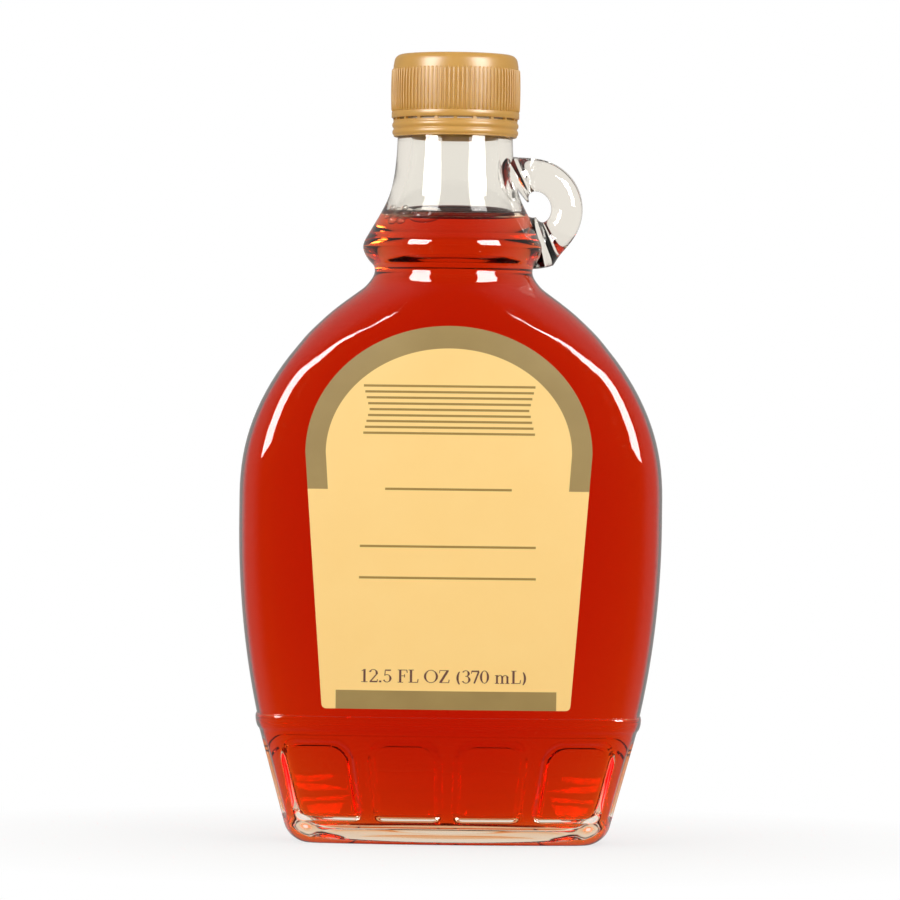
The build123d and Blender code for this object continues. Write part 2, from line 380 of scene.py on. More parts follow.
def ring(height, sizes, roundness=0.0, panel=False):
    """A level ring of points, with the base panels pressed in where asked."""
    flat, length = outline(*sizes, roundness, columns)
    if panel and panel_bottom - 2 < height < panel_top + 2:
        pressed, _ = outline(sizes[0] - panel_depth, sizes[1] - panel_depth, roundness, columns)
        flat = flat + (pressed - flat) * panel_mask(height, columns, length)[:, None]
    return np.column_stack([flat, np.full(len(flat), height)])


def round_ring(height, radius):
    """A level ring of points on a circle."""
    return ring(height, (radius, radius), 1.0)


def outer_rings():
    """The outside of the glass, from the push-up under the base to the rim."""
    rings = []
    under = base_sizes(0.0, heel_radius)
    for share, lift in ((0.25, 1.0), (0.5, 1.0), (0.72, 0.92), (0.82, 0.6), (0.88, 0.22), (0.92, 0.0)):
        rings.append(ring(push_up_depth * lift, (under[0] * share, under[1] * share)))
    for turn in np.linspace(0, math.pi / 2, 9):
        height = heel_radius * (1 - math.cos(turn))
        inset = heel_radius * (1 - math.sin(turn))
        rings.append(ring(height, base_sizes(height, inset), 0, True))
    heights = steps(heel_radius + 0.4, 5.4, 0.5) + steps(5.4, 8.2, 0.28) + steps(8.2, 19.5, 1.1)
    heights += steps(19.5, 25.2, 0.42) + steps(25.2, ledge_bottom, 0.6)
    for height in heights:
        rings.append(ring(height, base_sizes(height), 0, True))
    middle, half = (ledge_bottom + ledge_top) / 2, (ledge_top - ledge_bottom) / 2
    for turn in np.linspace(-0.92, 0.96, 11):
        height = middle + half * math.sin(turn * math.pi / 2)
        share = (height - ledge_bottom) / (ledge_top - ledge_bottom)
        proud = ledge_proud * math.cos(turn * math.pi / 2) + 0.05
        low, high = top_of_base, body_sizes(ledge_top)
        sizes = [low[i] + (high[i] - low[i]) * share + proud for i in (0, 1)]
        rings.append(ring(height, sizes))
    heights = steps(ledge_top + 0.15, 32, 0.5) + steps(32, 118, 2.2) + steps(118, 130, 1.0)
    heights += steps(130, 147, 0.5) + steps(147, 165, 1.1) + steps(165, finish_height, 1.8)
    for height in heights:
        rings.append(ring(height, body_sizes(height), roundness_at(height)))
    for height, radius in (
        (finish_height - 0.1, neck_radius),
        (finish_height, neck_radius - 0.1),
        (finish_height + 0.05, finish_radius + 0.1),
        (finish_height + 0.2, finish_radius),
        (178.0, finish_radius),
        (rim_height - 0.8, finish_radius),
        (rim_height - 0.25, finish_radius - 0.2),
        (rim_height, finish_radius - 0.8),
    ):
        rings.append(round_ring(height, radius))
    return rings


def inner_sizes(height, grow=0.0):
    """Half width and half depth of the inside of the glass at a height."""
    if height >= ledge_bottom:
        width, depth = (size - side_wall for size in body_sizes(height))
        if height > widest_to:
            neck = neck_inside_at(height)
            width, depth = soft_larger(width, neck, 1.5), soft_larger(depth, neck, 1.0)
        if height > groove_height - 2:
            into = min(1.0, (height - groove_height + 2) / 3)
            width, depth = (size + (neck_inside_at(height) - size) * into for size in (width, depth))
    else:
        upper = [size - side_wall for size in body_sizes(ledge_bottom)]
        lower = base_sizes(floor_height, side_wall)
        share = (height - floor_height) / (ledge_bottom - floor_height)
        width, depth = (lower[i] + (upper[i] - lower[i]) * share for i in (0, 1))
    return width + grow, depth + grow


def inner_rings(top_height, grow=0.0):
    """The inside of the glass from its floor up to a height, grown by a little if asked."""
    rings = []
    floor = inner_sizes(floor_height, grow - floor_corner_radius)
    for share in (0.3, 0.6, 0.85):
        rise = floor_dome * (1 - share) ** 0.8 - grow
        rings.append(ring(floor_height + rise, (floor[0] * share, floor[1] * share)))
    for turn in np.linspace(0, math.pi / 2, 8):
        height = floor_height + floor_corner_radius * (1 - math.cos(turn))
        inset = floor_corner_radius * (1 - math.sin(turn))
        rings.append(ring(height - grow * math.cos(turn), inner_sizes(height, grow - inset)))
    heights = steps(floor_height + floor_corner_radius + 1, 118, 2.8) + steps(118, 130, 1.4)
    heights += steps(130, 150, 0.75) + steps(150, 172, 1.5) + [172.0]
    for height in heights:
        if height < top_height:
            rings.append(ring(height, inner_sizes(height, grow), roundness_at(height)))
    return rings


def loop_tube():
    """The finger loop: a rod bent round, flaring where it meets the neck."""
    turns = np.radians(np.linspace(rod_end, -rod_end, 97))
    around = np.linspace(0, 2 * math.pi, 41)[:-1]
    rings = []
    for turn in turns:
        x = loop_centre_x + loop_ring_radius * math.cos(turn)
        z = loop_centre_z + loop_ring_radius * math.sin(turn)
        away = max(0.0, x - neck_radius_at(z) - 0.5)
        radius = loop_rod_radius + loop_flare * math.exp(-away / loop_flare_reach)
        outward = np.array([math.cos(turn), 0, math.sin(turn)])
        side = np.array([0, rod_flatness, 0])
        centre = np.array([x, 0, z])
        rings.append(
            np.array([centre + radius * (math.cos(a) * outward + math.sin(a) * side) for a in around])
        )
    return stack_rings("loop_rod", rings, rings[0].mean(axis=0), rings[-1].mean(axis=0))


def face_outwards(piece):
    """Turns every face of a closed mesh outwards."""
    work = bmesh.new()
    work.from_mesh(piece.data)
    bmesh.ops.recalc_face_normals(work, faces=work.faces)
    work.to_mesh(piece.data)
    work.free()


def combine(piece, other, operation):
    """Joins or cuts two closed meshes and removes the second."""
    tool = piece.modifiers.new("combine", "BOOLEAN")
    tool.operation = operation
    tool.solver = "MANIFOLD"
    tool.object = other
    take_result(piece)
    bpy.data.objects.remove(other)


def take_result(piece):
    """Replaces a piece's mesh by what its modifiers make of it."""
    graph = bpy.context.evaluated_depsgraph_get()
    mesh = bpy.data.meshes.new_from_object(piece.evaluated_get(graph))
    piece.modifiers.clear()
    piece.data = mesh


def make_glass():
    """The bottle: its outside with the finger loop joined on, less the hollow inside."""
    outside = outer_rings()
    glass = stack_rings(
        "glass",
        outside,
        (0, 0, push_up_depth),
        (0, 0, rim_height),
    )
    face_outwards(glass)
    rod = loop_tube()
    face_outwards(rod)
    combine(glass, rod, "UNION")
    inside = inner_rings(172.5)
    for height in (178.0, rim_height - 0.6):
        inside.append(round_ring(height, bore_radius))
    inside.append(round_ring(rim_height, bore_radius + 0.5))
    inside.append(round_ring(rim_height + 2, bore_radius + 1.5))
    hollow = stack_rings("hollow", inside, (0, 0, floor_height + floor_dome), (0, 0, rim_height + 2))
    face_outwards(hollow)
    combine(glass, hollow, "DIFFERENCE")
    mark_wetted(glass)
    glass.data.shade_smooth()
    glass.data.set_sharp_from_angle(angle=math.radians(50))
    return glass


def mark_wetted(glass):
    """Gives the inside faces under the syrup's level the second finish."""
    for face in glass.data.polygons:
        x, y, z = (part / METRES for part in face.center)
        if floor_height - 1 < z < fill_height + film_height:
            slack = 0.0 if z > floor_height + floor_corner_radius else 0.6
            width, depth = inner_sizes(z, slack)
            inside = abs(x) < width + 0.5 and abs(y) < depth + 0.5
            inwards = face.normal.x * x + face.normal.y * y < 0 or (z < 12 and face.normal.z > 0.2)
            if inside and inwards:
                face.material_index = 1


def make_syrup():
    """The syrup up to its level, with a film that climbs the wall."""
    rings = inner_rings(fill_height, wall_bite)
    for rise in (0.0, 0.6, 1.2, 1.8, 2.2):
        height = fill_height + rise
        rings.append(ring(height, inner_sizes(height, wall_bite), 1.0))
    film_top = fill_height + film_height
    rings.append(ring(film_top, inner_sizes(film_top, wall_bite * 0.2), 1.0))
    for rise in (2.2, 1.7, 1.2, 0.8, 0.45, 0.2, 0.05, 0.0):
        height = fill_height + rise
        thick = film_thickness + 2.4 * math.exp(-rise / 0.55)
        rings.append(ring(height, inner_sizes(height, -thick), 1.0))
    rings.append(ring(fill_height, inner_sizes(fill_height, -7), 1.0))
    bottom = (0, 0, floor_height + floor_dome - wall_bite)
    syrup = stack_rings("syrup_fill", rings, bottom, (0, 0, fill_height))
    face_outwards(syrup)
    for face in syrup.data.polygons:
        x, y, z = (part / METRES for part in face.center)
        inwards = face.normal.x * x + face.normal.y * y < 0
        if z > fill_height - 0.3 and (face.normal.z > 0.3 or inwards):
            face.material_index = 1
    return syrup


# ------------------------------------------------------------------ label


def front_outline(z):
    """Half outline of the flask at a height as x and distance in front of the middle plane."""
    if z not in front_outlines:
        quarter = eight_arc_outline(*body_sizes(z), roundness_at(z))[::-1]
        front_outlines[z] = quarter
    return front_outlines[z]


front_outlines = {}


def front_of_flask(x, z):
    """Distance of the flask's front face from the middle plane."""
    quarter = front_outline(round(z, 4))
    return float(np.interp(abs(x), quarter[:, 0], quarter[:, 1]))


def on_front(x, z, lift):
    """A point on the flask's front, lifted off it by a little."""
    step = 0.2
    y = -front_of_flask(x, z)
    slope_x = (-front_of_flask(x + step, z) + front_of_flask(x - step, z)) / (2 * step)
    slope_z = (-front_of_flask(x, z + step) + front_of_flask(x, z - step)) / (2 * step)
    normal = np.array([slope_x, -1.0, slope_z])
    normal /= np.linalg.norm(normal)
    return np.array([x, y, z]) + normal * lift


def label_half_width_at(z):
    """Half the label's width at a height."""
    if z >= label_spring:
        share = (z - label_spring) / (label_crown - label_spring)
        return label_half_width * math.sqrt(max(0.0, 1 - share**2))
    slope = (label_half_width - label_foot_half_width) / (label_spring - label_foot)
    half = label_foot_half_width + slope * (z - label_foot)
    up = z - label_foot
    if up < label_corner_radius:
        half -= label_corner_radius - math.sqrt(label_corner_radius**2 - (label_corner_radius - up) ** 2)
    return half


def make_label():
    """The paper label, a thin sheet that follows the front of the glass."""
    rows = [
        label_foot + label_corner_radius * (1 - math.cos(t)) for t in np.linspace(0, math.pi / 2, 5)
    ]
    rows += steps(label_foot + 1.8, label_spring, 1.1)
    rows += [
        label_spring + (label_crown - label_spring) * math.sin(t)
        for t in np.linspace(0, math.radians(89.2), 44)
    ]
    across = np.linspace(-1, 1, 65)
    vertices, faces = [], []
    for lift in (print_lift, print_lift + label_thickness):
        for z in rows:
            half = label_half_width_at(z)
            vertices += [on_front(label_middle + half * a, z, lift) for a in across]
    wide, tall = len(across), len(rows)
    back, front = 0, wide * tall
    for r in range(tall - 1):
        for c in range(wide - 1):
            i = r * wide + c
            faces.append((front + i, front + i + 1, front + i + wide + 1, front + i + wide))
            faces.append((back + i + wide, back + i + wide + 1, back + i + 1, back + i))
    edge = list(range(wide))
    edge += [r * wide + wide - 1 for r in range(1, tall)]
    edge += [(tall - 1) * wide + c for c in range(wide - 2, -1, -1)]
    edge += [r * wide for r in range(tall - 2, 0, -1)]
    for k, i in enumerate(edge):
        j = edge[(k + 1) % len(edge)]
        faces.append((back + i, back + j, front + j, front + i))
    label = new_object("label_paper", vertices, faces)
    face_outwards(label)
    label.data.set_sharp_from_angle(angle=math.radians(60))
    for face in label.data.polygons:
        face.material_index = 1 if face.normal.y > 0.2 else 0
    return label


# Letters for the label, drawn as strokes in units of the capitals' height: each glyph is its
# width and its strokes, a straight one as (x0, y0, x1, y1, weight) and a round one as
# (centre x, centre y, half width, half height, from, to), heavier at its sides.
thick, thin = 0.13, 0.05
glyphs = {
    "1": (
        0.50,
        [(0.26, 0, 0.26, 1, thick), (0.08, 0.02, 0.44, 0.02, thin), (0.10, 0.86, 0.26, 0.97, thin)],
        [],
    ),
    "2": (
        0.56,
        [(0.46, 0.62, 0.10, 0.06, 0.08), (0.06, 0.05, 0.50, 0.05, 0.11), (0.49, 0.05, 0.51, 0.22, thin)],
        [(0.27, 0.72, 0.20, 0.26, 165, -22)],
    ),
    "3": (0.52, [], [(0.23, 0.75, 0.17, 0.23, 155, -95), (0.24, 0.28, 0.20, 0.27, 95, -155)]),
    "5": (
        0.52,
        [(0.13, 0.94, 0.46, 0.94, 0.10), (0.14, 0.94, 0.11, 0.52, thin)],
        [(0.24, 0.31, 0.20, 0.29, 125, -155)],
    ),
    "7": (
        0.52,
        [(0.05, 0.94, 0.48, 0.94, 0.11), (0.46, 0.92, 0.20, 0, 0.10), (0.06, 0.94, 0.04, 0.76, thin)],
        [],
    ),
    "0": (0.54, [], [(0.27, 0.5, 0.20, 0.48, 0, 360)]),
    ".": (0.26, [(0.11, 0, 0.11, 0.13, thick)], []),
    "F": (
        0.62,
        [
            (0.18, 0, 0.18, 1, thick),
            (0.04, 0.02, 0.35, 0.02, thin),
            (0.04, 0.97, 0.57, 0.97, thin),
            (0.56, 0.97, 0.58, 0.76, thin),
            (0.18, 0.52, 0.43, 0.52, thin),
            (0.43, 0.40, 0.43, 0.64, thin),
        ],
        [],
    ),
    "L": (
        0.62,
        [
            (0.18, 0, 0.18, 1, thick),
            (0.04, 0.98, 0.34, 0.98, thin),
            (0.04, 0.03, 0.57, 0.03, thin),
            (0.56, 0.03, 0.59, 0.28, thin),
        ],
        [],
    ),
    "O": (0.84, [], [(0.41, 0.5, 0.34, 0.48, 0, 360)]),
    "Z": (
        0.68,
        [
            (0.07, 0.97, 0.59, 0.97, thin),
            (0.08, 0.97, 0.06, 0.76, thin),
            (0.53, 0.95, 0.12, 0.05, 0.14),
            (0.05, 0.03, 0.60, 0.03, thin),
            (0.59, 0.03, 0.62, 0.27, thin),
        ],
        [],
    ),
    "m": (
        0.92,
        [(x, 0, x, 0.50, 0.11) for x in (0.15, 0.45, 0.75)]
        + [(x - 0.12, 0.02, x + 0.12, 0.02, thin) for x in (0.15, 0.45, 0.75)]
        + [(0.15, 0.45, 0.15, 0.66, 0.11), (0.03, 0.62, 0.15, 0.64, thin)],
        [(0.32, 0.46, 0.13, 0.18, 150, 0), (0.62, 0.46, 0.13, 0.18, 150, 0)],
    ),
    "(": (0.36, [], [(0.42, 0.40, 0.30, 0.62, 128, 232)]),
    ")": (0.36, [], [(-0.08, 0.40, 0.30, 0.62, 52, -52)]),
    " ": (0.30, [], []),
}


def strip(left, right):
    """Points and faces of a ribbon between two edges."""
    count = len(left)
    return left + right, [(i, i + 1, count + i + 1, count + i) for i in range(count - 1)]


def straight_stroke(x0, y0, x1, y1, weight):
    """A ribbon of even weight between two points."""
    length = math.hypot(x1 - x0, y1 - y0)
    side_x, side_y = -(y1 - y0) / length * weight / 2, (x1 - x0) / length * weight / 2
    ends = ((x0, y0), (x1, y1))
    return strip(*([(x + sign * side_x, y + sign * side_y) for x, y in ends] for sign in (1, -1)))


def round_stroke(centre_x, centre_y, half_width, half_height, start, stop):
    """A ribbon along part of an ellipse, given in degrees, heavier at its sides."""
    left, right = [], []
    for turn in np.radians(np.linspace(start, stop, 29)):
        weight = thin + (thick - thin) * abs(math.cos(turn)) ** 1.5
        for edge, sign in ((left, 1), (right, -1)):
            edge.append(
                (
                    centre_x + (half_width + sign * weight / 2) * math.cos(turn),
                    centre_y + (half_height + sign * thin / 2) * math.sin(turn),
                )
            )
    return strip(left, right)


volume_words = "12.5 FL OZ (370 mL)"
volume_width, volume_height, volume_foot = 39.4, 3.05, 38.75
volume_shift = -0.6  # to the left of the label's middle


def make_volume_text():
    """The plain volume statement, printed near the label's foot in letters with serifs."""
    total = sum(glyphs[letter][0] for letter in volume_words)
    stretch = volume_width / total
    left = label_middle + volume_shift - volume_width / 2
    points, faces = [], []
    at = 0.0
    for letter in volume_words:
        advance, straight, bent = glyphs[letter]
        strokes = [straight_stroke(*item) for item in straight] + [round_stroke(*item) for item in bent]
        for stroke_points, stroke_faces in strokes:
            first = len(points)
            points += [(left + (at + x) * stretch, volume_foot + y * volume_height) for x, y in stroke_points]
            faces += [tuple(first + i for i in face) for face in stroke_faces]
        at += advance
    placed = [on_front(x, z, label_thickness + 2.5 * print_lift) for x, z in points]
    words = new_object("volume_print", placed, faces)
    turned = [face.index for face in words.data.polygons if face.normal.y > 0]
    work = bmesh.new()
    work.from_mesh(words.data)
    work.faces.ensure_lookup_table()
    bmesh.ops.reverse_faces(work, faces=[work.faces[i] for i in turned])
    work.to_mesh(words.data)
    work.free()
    return words


# ------------------------------------------------------------------ cap


def lathe(name, outline_points, segments=240):
    """A closed turned piece from an outline of radius and height that starts and ends on the axis."""
    turn = np.linspace(0, 2 * math.pi, segments + 1)[:-1]
    rings = [
        np.column_stack([r * np.cos(turn), r * np.sin(turn), np.full(segments, z)])
        for r, z in outline_points[1:-1]
    ]
    piece = stack_rings(
        name,
        rings,
        (0, 0, outline_points[0][1]),
        (0, 0, outline_points[-1][1]),
    )
    face_outwards(piece)
    return piece


def turned_ring(name, outline_points, segments=240):
    """A closed turned ring from a closed outline of radius and height."""
    turn = np.linspace(0, 2 * math.pi, segments + 1)[:-1]
    count = len(outline_points)
    vertices = [
        (r * math.cos(a), r * math.sin(a), z) for r, z in outline_points for a in turn
    ]
    faces = []
    for p in range(count):
        a, b = p * segments, (p + 1) % count * segments
        faces += [(a + i, a + (i + 1) % segments, b + (i + 1) % segments, b + i) for i in range(segments)]
    piece = new_object(name, vertices, faces)
    face_outwards(piece)
    return piece


cap_bottom, cap_top = cap_low[2], cap_high[2]
cap_height = cap_top - cap_bottom
shell_radius = 15.1
cap_hollow = 12.9  # height of the space inside the cap
rib_bottom, rib_top = cap_bottom + 1.6, cap_top - 3.4


def shell_radius_at(z):
    """The cap's slightly barrelled side."""
    share = (z - cap_bottom) / cap_height
    return shell_radius - 0.28 * (2 * share - 0.85) ** 2


def make_cap():
    """The cap's turned shell, without its ribs."""
    side = [(shell_radius_at(z), z) for z in np.linspace(rib_bottom, rib_top + 0.8, 12)]
    crown_radius = 1.9
    top_side = shell_radius_at(rib_top + 0.8)
    crown = [
        (top_side - crown_radius * (1 - math.cos(t)) - 0.15, cap_top - crown_radius * (1 - math.sin(t)))
        for t in np.linspace(0.1, math.pi / 2, 8)
    ]
    outline_points = [
        (0, cap_bottom + cap_hollow),
        (13.2, cap_bottom + cap_hollow),
        (13.7, cap_bottom + cap_hollow - 0.5),
        (13.85, cap_bottom + 0.3),
        (14.0, cap_bottom),
        (shell_radius_at(cap_bottom) + 0.22, cap_bottom),
        (shell_radius_at(cap_bottom) + 0.36, cap_bottom + 0.15),
        (shell_radius_at(cap_bottom) + 0.36, rib_bottom - 0.3),
        (shell_radius_at(cap_bottom) + 0.26, rib_bottom - 0.05),
        *side,
        *crown,
        (11.6, cap_top - 0.02),
        (11.1, cap_top - 0.14),
        (6.0, cap_top - 0.18),
        (0, cap_top - 0.2),
    ]
    cap = lathe("cap_shell", outline_points, 360)
    cap.data.set_sharp_from_angle(angle=math.radians(50))
    return cap


def copies_round_the_axis(name):
    """A node tree that repeats the mesh it is given evenly round the Z axis."""
    tree = bpy.data.node_groups.new(name, "GeometryNodeTree")
    face = tree.interface
    face.new_socket("Geometry", in_out="INPUT", socket_type="NodeSocketGeometry")
    face.new_socket("Number of copies", in_out="INPUT", socket_type="NodeSocketInt")
    face.new_socket("Uneven height", in_out="INPUT", socket_type="NodeSocketFloat")
    face.new_socket("Finish", in_out="INPUT", socket_type="NodeSocketMaterial")
    face.new_socket("Geometry", in_out="OUTPUT", socket_type="NodeSocketGeometry")
    nodes, link = tree.nodes, tree.links.new
    start = nodes.new("NodeGroupInput")
    end = nodes.new("NodeGroupOutput")
    points = nodes.new("GeometryNodePoints")
    number = nodes.new("GeometryNodeInputIndex")
    share = nodes.new("ShaderNodeMath")
    share.operation = "DIVIDE"
    angle = nodes.new("ShaderNodeMath")
    angle.operation = "MULTIPLY"
    angle.inputs[1].default_value = 2 * math.pi
    turn = nodes.new("ShaderNodeCombineXYZ")
    uneven = nodes.new("FunctionNodeRandomValue")
    uneven.data_type = "FLOAT"
    uneven.inputs["Seed"].default_value = 4
    low = nodes.new("ShaderNodeMath")
    low.operation = "MULTIPLY"
    low.inputs[1].default_value = -1
    place = nodes.new("ShaderNodeCombineXYZ")
    copy = nodes.new("GeometryNodeInstanceOnPoints")
    real = nodes.new("GeometryNodeRealizeInstances")
    finish = nodes.new("GeometryNodeSetMaterial")
    link(start.outputs["Number of copies"], points.inputs["Count"])
    link(start.outputs["Uneven height"], low.inputs[0])
    link(low.outputs[0], uneven.inputs[2])
    link(start.outputs["Uneven height"], uneven.inputs[3])
    link(uneven.outputs[1], place.inputs["Z"])
    link(place.outputs[0], points.inputs["Position"])
    link(number.outputs[0], share.inputs[0])
    link(start.outputs["Number of copies"], share.inputs[1])
    link(share.outputs[0], angle.inputs[0])
    link(angle.outputs[0], turn.inputs["Z"])
    link(points.outputs[0], copy.inputs["Points"])
    link(start.outputs["Geometry"], copy.inputs["Instance"])
    link(turn.outputs[0], copy.inputs["Rotation"])
    link(copy.outputs[0], real.inputs[0])
    link(real.outputs[0], finish.inputs["Geometry"])
    link(start.outputs["Finish"], finish.inputs["Material"])
    link(finish.outputs[0], end.inputs[0])
    return tree


def repeat_round(piece, tree, count, uneven, finish):
    """Runs the repeating tree on a piece and keeps the plain mesh."""
    tool = piece.modifiers.new("repeat", "NODES")
    tool.node_group = tree
    wanted = {"Number of copies": count, "Uneven height": uneven * METRES, "Finish": finish}
    for socket in tree.interface.items_tree:
        if socket.in_out == "INPUT" and socket.name in wanted:
            tool[socket.identifier] = wanted[socket.name]
    take_result(piece)


rib_count = 90
bridge_count = 20


def make_rib():
    """One upright rib of the cap, rounded across and fading out at its ends."""
    across = np.linspace(-1, 1, 7)
    vertices, faces = [], []
    heights = [rib_bottom - 0.1, rib_bottom + 0.1]
    heights += [*np.linspace(rib_bottom + 0.4, rib_top - 0.5, 9), rib_top - 0.2, rib_top]
    proud = [0.0, 0.26] + [0.38] * 9 + [0.26, 0.0]
    for z, rise in zip(heights, proud):
        radius = shell_radius_at(z) - 0.12
        for a in across:
            vertices.append((radius + (rise + 0.1) * math.sqrt(max(0, 1 - a * a)), 0.34 * a, z))
    wide = len(across)
    for low in range(0, (len(heights) - 1) * wide, wide):
        high = low + wide
        faces += [(low + c, low + c + 1, high + c + 1, high + c) for c in range(wide - 1)]
        faces.append((low + wide - 1, low, high, high + wide - 1))
    faces.append(tuple(range(wide)))
    faces.append(tuple(reversed([(len(heights) - 1) * wide + c for c in range(wide)])))
    rib = new_object("cap_ribs", vertices, faces)
    face_outwards(rib)
    return rib


band_bottom = band_low[2]
band_top = cap_bottom - 0.45
bead_proud, bead_half_height = 0.3, 0.62


def make_band():
    """The break-off band: a thin ring with two rounded beads."""
    middle = (band_bottom + band_top) / 2
    outside = []
    for z in np.linspace(band_bottom + 0.12, band_top - 0.12, 27):
        bead = sum(
            bead_proud * max(0.0, 1 - ((z - centre) / bead_half_height) ** 2) ** 0.5
            for centre in (middle - 0.95, middle + 0.75)
        )
        outside.append((14.72 + 0.12 * (z - band_bottom) / 4 + bead, z))
    points = [
        (14.05, band_bottom),
        (14.55, band_bottom),
        *outside,
        (14.65, band_top),
        (14.05, band_top),
    ]
    band = turned_ring("break_off_band", points, 300)
    band.data.set_sharp_from_angle(angle=math.radians(50))
    return band


def make_bridge():
    """One of the small bridges that hold the band to the cap until it is opened."""
    x0, x1, half = 14.2, 14.85, 0.42
    z0, z1 = band_top - 0.1, cap_bottom + 0.1
    vertices = [(x, y, z) for z in (z0, z1) for x, y in ((x0, -half), (x1, -half), (x1, half), (x0, half))]
    faces = [(3, 2, 1, 0), (4, 5, 6, 7), (0, 1, 5, 4), (1, 2, 6, 5), (2, 3, 7, 6), (3, 0, 4, 7)]
    bridge = new_object("band_bridges", vertices, faces, smooth=False)
    face_outwards(bridge)
    return bridge


# ------------------------------------------------------------------ bubbles


def make_bubbles():
    """Froth against the neck at the syrup's surface: thin-walled bubbles of uneven sizes."""
    bubbles = [
        ((-6.2, -10.6, 148.2), (3.9, 3.2, 2.2)),
        ((-10.4, -9.3, 148.6), (1.7, 1.7, 1.6)),
        ((-12.4, -7.6, 149.0), (1.5, 1.5, 1.5)),
        ((-14.0, -4.4, 148.3), (1.3, 1.3, 1.2)),
        ((-12.9, -6.6, 146.9), (1.3, 1.3, 1.3)),
        ((-11.3, -8.8, 146.8), (1.1, 1.1, 1.0)),
        ((-13.6, -5.6, 150.2), (0.9, 0.9, 0.9)),
        ((-2.6, -12.6, 148.3), (0.9, 0.9, 0.8)),
        ((-10.9, -9.6, 150.3), (0.8, 0.8, 0.8)),
    ]
    work = bmesh.new()
    for centre, half in bubbles:
        for shrink, inside in ((0.0, False), (0.14, True)):
            made = bmesh.ops.create_uvsphere(work, u_segments=28, v_segments=16, radius=1.0)
            for vertex in made["verts"]:
                vertex.co = [
                    (centre[i] + vertex.co[i] * (half[i] - shrink)) * METRES for i in range(3)
                ]
            if inside:
                faces = {face for vertex in made["verts"] for face in vertex.link_faces}
                bmesh.ops.reverse_faces(work, faces=list(faces))
    mesh = bpy.data.meshes.new("froth")
    work.to_mesh(mesh)
    work.free()
    mesh.shade_smooth()
    piece = bpy.data.objects.new("froth", mesh)
    bpy.context.scene.collection.objects.link(piece)
    return piece


# ------------------------------------------------------------------ finishes


def new_finish(name):
    """An empty material with its nodes and its way of linking them."""
    finish = bpy.data.materials.new(name)
    finish.use_nodes = True
    finish.node_tree.nodes.clear()
    return finish, finish.node_tree.nodes, finish.node_tree.links.new


def srgb(red, green, blue):
    """A colour given as 0 to 255 display values, as the shader wants it."""
    shares = [value / 255 for value in (red, green, blue)]
    return tuple(((share + 0.055) / 1.055) ** 2.4 for share in shares) + (1,)


def clear_glass(name, bending):
    """Glass whose bending of light is given: lower where syrup instead of air lies against it."""
    finish, nodes, link = new_finish(name)
    out = nodes.new("ShaderNodeOutputMaterial")
    shader = nodes.new("ShaderNodeBsdfPrincipled")
    shader.inputs["Base Color"].default_value = (0.985, 0.99, 0.985, 1)
    shader.inputs["Roughness"].default_value = 0.0
    shader.inputs["IOR"].default_value = bending
    shader.inputs["Transmission Weight"].default_value = 1
    link(shader.outputs[0], out.inputs["Surface"])
    place = nodes.new("ShaderNodeTexCoord")
    ripple = nodes.new("ShaderNodeTexNoise")
    ripple.inputs["Scale"].default_value = 55
    ripple.inputs["Detail"].default_value = 1.5
    bump = nodes.new("ShaderNodeBump")
    bump.inputs["Strength"].default_value = 0.05
    bump.inputs["Distance"].default_value = 0.0008
    link(place.outputs["Object"], ripple.inputs["Vector"])
    link(ripple.outputs[0], bump.inputs["Height"])
    link(bump.outputs[0], shader.inputs["Normal"])
    return finish


def amber_syrup(name, bending):
    """Syrup that soaks up light by depth, green and blue far more than red."""
    finish, nodes, link = new_finish(name)
    out = nodes.new("ShaderNodeOutputMaterial")
    shader = nodes.new("ShaderNodeBsdfPrincipled")
    shader.inputs["Base Color"].default_value = (1, 1, 1, 1)
    shader.inputs["Roughness"].default_value = 0.0
    shader.inputs["IOR"].default_value = bending
    shader.inputs["Transmission Weight"].default_value = 1
    soak = nodes.new("ShaderNodeVolumeAbsorption")
    soak.inputs["Color"].default_value = (0.944, 0.475, 0.0, 1)
    soak.inputs["Density"].default_value = 230
    link(shader.outputs[0], out.inputs["Surface"])
    link(soak.outputs[0], out.inputs["Volume"])
    return finish


def gold_plastic():
    """Satin gold-coloured plastic, a little cloudy, with faint wear."""
    finish, nodes, link = new_finish("gold moulded plastic")
    out = nodes.new("ShaderNodeOutputMaterial")
    shader = nodes.new("ShaderNodeBsdfPrincipled")
    place = nodes.new("ShaderNodeTexCoord")
    cloud = nodes.new("ShaderNodeTexNoise")
    cloud.inputs["Scale"].default_value = 180
    cloud.inputs["Detail"].default_value = 3
    tint = nodes.new("ShaderNodeMixRGB")
    tint.inputs[1].default_value = srgb(203, 150, 66)
    tint.inputs[2].default_value = srgb(218, 168, 84)
    fine = nodes.new("ShaderNodeTexNoise")
    fine.inputs["Scale"].default_value = 2600
    bump = nodes.new("ShaderNodeBump")
    bump.inputs["Strength"].default_value = 0.12
    bump.inputs["Distance"].default_value = 0.00005
    link(place.outputs["Object"], cloud.inputs["Vector"])
    link(place.outputs["Object"], fine.inputs["Vector"])
    link(cloud.outputs[0], tint.inputs[0])
    link(tint.outputs[0], shader.inputs["Base Color"])
    link(fine.outputs[0], bump.inputs["Height"])
    link(bump.outputs[0], shader.inputs["Normal"])
    shader.inputs["Roughness"].default_value = 0.33
    shader.inputs["Subsurface Weight"].default_value = 0.15
    shader.inputs["Subsurface Radius"].default_value = (0.0012, 0.0008, 0.0004)
    shader.inputs["Subsurface Scale"].default_value = 1.0
    link(shader.outputs[0], out.inputs["Surface"])
    return finish


